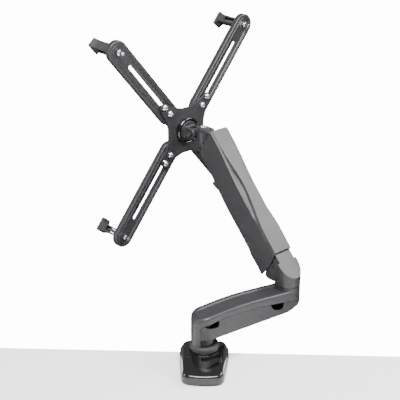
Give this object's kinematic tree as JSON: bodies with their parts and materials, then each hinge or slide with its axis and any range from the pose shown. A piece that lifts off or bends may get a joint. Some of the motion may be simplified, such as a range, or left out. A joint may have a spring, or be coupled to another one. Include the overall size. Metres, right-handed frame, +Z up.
{
  "type": "monitor arm",
  "caption": "Desk-clamp monitor arm with a level lower arm, gas-spring upper arm, pan, tilt and rotate head, and an X-shaped adapter whose hooks grip a screen with no mounting holes.",
  "frame": {"origin": "on the desk surface, on the axis of the base post, at the underside of the base pad", "axes": "+Z up; +Y along the spring arm towards the screen, square to the screen; +X along the screen width"},
  "size_m": [0.3875, 0.3537, 0.6376],
  "materials": {
    "satin_black": "fine-grained satin black powder coat",
    "matte_plastic": "fine-textured matte black plastic",
    "gloss_cover": "polished black plastic",
    "bright_steel": "bright zinc and nickel plated steel",
    "black_steel": "black e-coated sheet steel",
    "rubber": "dull black foam rubber"
  },
  "bodies": {
    "base": {"base_pad": "rubber", "base_plate": "black_steel", "base_body": "satin_black", "base_cover": "gloss_cover", "collar_ring": "matte_plastic", "base_post": "black_steel", "clamp_bracket": "satin_black", "bracket_screw_1": "bright_steel", "bracket_screw_2": "bright_steel"},
    "clamp_foot": {"clamp_disc": "bright_steel"},
    "clamp_spindle": {"clamp_screw": "bright_steel", "clamp_knob": "matte_plastic"},
    "lower_arm": {"lower_arm": "satin_black", "lower_cable_cover": "matte_plastic", "elbow_pin": "bright_steel", "elbow_washer": "matte_plastic"},
    "elbow": {"elbow_yoke": "satin_black", "main_pivot_pin_left": "black_steel", "main_pivot_pin_right": "black_steel", "lower_link_pin": "black_steel", "spring_foot_pin": "black_steel"},
    "spring_arm": {"spring_arm_cover": "satin_black", "upper_link": "black_steel", "spring_head_pin": "black_steel", "underside_cover": "matte_plastic", "head_pin_upper": "black_steel"},
    "lower_link": {"lower_link": "black_steel"},
    "gas_cylinder": {"gas_spring_cylinder": "black_steel"},
    "gas_rod": {"gas_spring_rod": "bright_steel"},
    "head": {"head_bracket": "satin_black", "head_pin_lower": "black_steel", "swivel_bolt": "bright_steel"},
    "pan": {"swivel_knuckle": "satin_black"},
    "tilt": {"tilt_bracket": "satin_black", "tilt_washer_left": "matte_plastic", "tilt_washer_right": "matte_plastic", "tilt_bolt": "black_steel", "hub_disc": "gloss_cover", "hub_bolt": "bright_steel"},
    "plate": {"x_plate": "satin_black"},
    "fixing_upper_left": {"inner_screw_upper_left": "bright_steel", "outer_screw_upper_left": "bright_steel"},
    "arm_upper_left": {"adapter_arm_upper_left": "satin_black"},
    "hook_upper_left": {"hook_rod_upper_left": "bright_steel", "hook_claw_upper_left": "matte_plastic"},
    "fixing_upper_right": {"inner_screw_upper_right": "bright_steel", "outer_screw_upper_right": "bright_steel"},
    "arm_upper_right": {"adapter_arm_upper_right": "satin_black"},
    "hook_upper_right": {"hook_rod_upper_right": "bright_steel", "hook_claw_upper_right": "matte_plastic"},
    "fixing_lower_left": {"inner_screw_lower_left": "bright_steel", "outer_screw_lower_left": "bright_steel"},
    "arm_lower_left": {"adapter_arm_lower_left": "satin_black"},
    "hook_lower_left": {"hook_rod_lower_left": "bright_steel", "hook_claw_lower_left": "matte_plastic"},
    "fixing_lower_right": {"inner_screw_lower_right": "bright_steel", "outer_screw_lower_right": "bright_steel"},
    "arm_lower_right": {"adapter_arm_lower_right": "satin_black"},
    "hook_lower_right": {"hook_rod_lower_right": "bright_steel", "hook_claw_lower_right": "matte_plastic"}
  },
  "joints": [
    {"name": "clamp_travel", "type": "slide", "parent": "base", "child": "clamp_foot", "axis": [0, 0, 1], "range_m": [-0.055, 0.014]},
    {"name": "clamp_turn", "type": "hinge", "parent": "clamp_foot", "child": "clamp_spindle", "pos_m": [-0.00141, -0.00141, -0.036], "axis": [0, 0, 1], "range_deg": [-13320, 3420]},
    {"name": "base_swivel", "type": "hinge", "parent": "base", "child": "lower_arm", "pos_m": [0, 0, 0.06], "axis": [0, 0, 1], "range_deg": [-180, 180]},
    {"name": "elbow_swivel", "type": "hinge", "parent": "lower_arm", "child": "elbow", "pos_m": [0.15984, -0.03194, 0.1], "axis": [0, 0, 1], "range_deg": [-180, 180]},
    {"name": "arm_lift", "type": "hinge", "parent": "elbow", "child": "spring_arm", "pos_m": [0.15984, -0.00794, 0.136], "axis": [1, 0, 0], "range_deg": [-63, 4]},
    {"name": "lower_link_lift", "type": "hinge", "parent": "elbow", "child": "lower_link", "pos_m": [0.15984, -0.00494, 0.115], "axis": [1, 0, 0], "range_deg": [-64, 5]},
    {"name": "gas_spring_swing", "type": "hinge", "parent": "spring_arm", "child": "gas_cylinder", "pos_m": [0.15984, 0.1299, 0.28909], "axis": [1, 0, 0], "range_deg": [-1, 4]},
    {"name": "gas_spring_stroke", "type": "slide", "parent": "gas_cylinder", "child": "gas_rod", "axis": [0, 0.6638, 0.748], "range_m": [-0.002, 0.012]},
    {"name": "head_level", "type": "hinge", "parent": "spring_arm", "child": "head", "pos_m": [0.15984, 0.14931, 0.31064], "axis": [1, 0, 0], "range_deg": [-5, 64]},
    {"name": "head_pan", "type": "hinge", "parent": "head", "child": "pan", "pos_m": [0.15984, 0.17431, 0.30504], "axis": [0, 0, 1], "range_deg": [-90, 90]},
    {"name": "head_tilt", "type": "hinge", "parent": "pan", "child": "tilt", "pos_m": [0.15984, 0.19631, 0.30504], "axis": [1, 0, 0], "range_deg": [-45, 45]},
    {"name": "head_rotate", "type": "hinge", "parent": "tilt", "child": "plate", "pos_m": [0.15984, 0.22121, 0.30504], "axis": [0, 1, 0], "range_deg": [-180, 180]},
    {"name": "arm_swing_upper_left", "type": "hinge", "parent": "plate", "child": "fixing_upper_left", "pos_m": [0.12234, 0.22121, 0.34254], "axis": [0, 1, 0], "range_deg": [-19, 8]},
    {"name": "arm_slide_upper_left", "type": "slide", "parent": "fixing_upper_left", "child": "arm_upper_left", "axis": [-0.6388, 0, 0.7694], "range_m": [-0.014, 0.004]},
    {"name": "hook_turn_upper_left", "type": "hinge", "parent": "arm_upper_left", "child": "hook_upper_left", "pos_m": [0.01758, 0.22121, 0.46872], "axis": [0, 1, 0], "range_deg": [-90, 90]},
    {"name": "arm_swing_upper_right", "type": "hinge", "parent": "plate", "child": "fixing_upper_right", "pos_m": [0.19734, 0.22121, 0.34254], "axis": [0, 1, 0], "range_deg": [-8, 19]},
    {"name": "arm_slide_upper_right", "type": "slide", "parent": "fixing_upper_right", "child": "arm_upper_right", "axis": [0.6388, 0, 0.7694], "range_m": [-0.014, 0.004]},
    {"name": "hook_turn_upper_right", "type": "hinge", "parent": "arm_upper_right", "child": "hook_upper_right", "pos_m": [0.3021, 0.22121, 0.46872], "axis": [0, 1, 0], "range_deg": [-90, 90]},
    {"name": "arm_swing_lower_left", "type": "hinge", "parent": "plate", "child": "fixing_lower_left", "pos_m": [0.12234, 0.22121, 0.26754], "axis": [0, 1, 0], "range_deg": [-8, 19]},
    {"name": "arm_slide_lower_left", "type": "slide", "parent": "fixing_lower_left", "child": "arm_lower_left", "axis": [-0.6388, 0, -0.7694], "range_m": [-0.014, 0.004]},
    {"name": "hook_turn_lower_left", "type": "hinge", "parent": "arm_lower_left", "child": "hook_lower_left", "pos_m": [0.01758, 0.22121, 0.14136], "axis": [0, 1, 0], "range_deg": [-90, 90]},
    {"name": "arm_swing_lower_right", "type": "hinge", "parent": "plate", "child": "fixing_lower_right", "pos_m": [0.19734, 0.22121, 0.26754], "axis": [0, 1, 0], "range_deg": [-19, 8]},
    {"name": "arm_slide_lower_right", "type": "slide", "parent": "fixing_lower_right", "child": "arm_lower_right", "axis": [0.6388, 0, -0.7694], "range_m": [-0.014, 0.004]},
    {"name": "hook_turn_lower_right", "type": "hinge", "parent": "arm_lower_right", "child": "hook_lower_right", "pos_m": [0.3021, 0.22121, 0.14136], "axis": [0, 1, 0], "range_deg": [-90, 90]}
  ],
  "couplings": [
    {"joint": "clamp_turn", "follows": "clamp_travel", "rad_per_m": 4188.8},
    {"joint": "lower_link_lift", "follows": "arm_lift", "ratio": 1},
    {"joint": "head_level", "follows": "arm_lift", "ratio": -1},
    {"joint": "gas_spring_swing", "follows": "arm_lift", "ratio": -0.0403},
    {"joint": "gas_spring_stroke", "follows": "arm_lift", "m_per_rad": -0.0056}
  ]
}
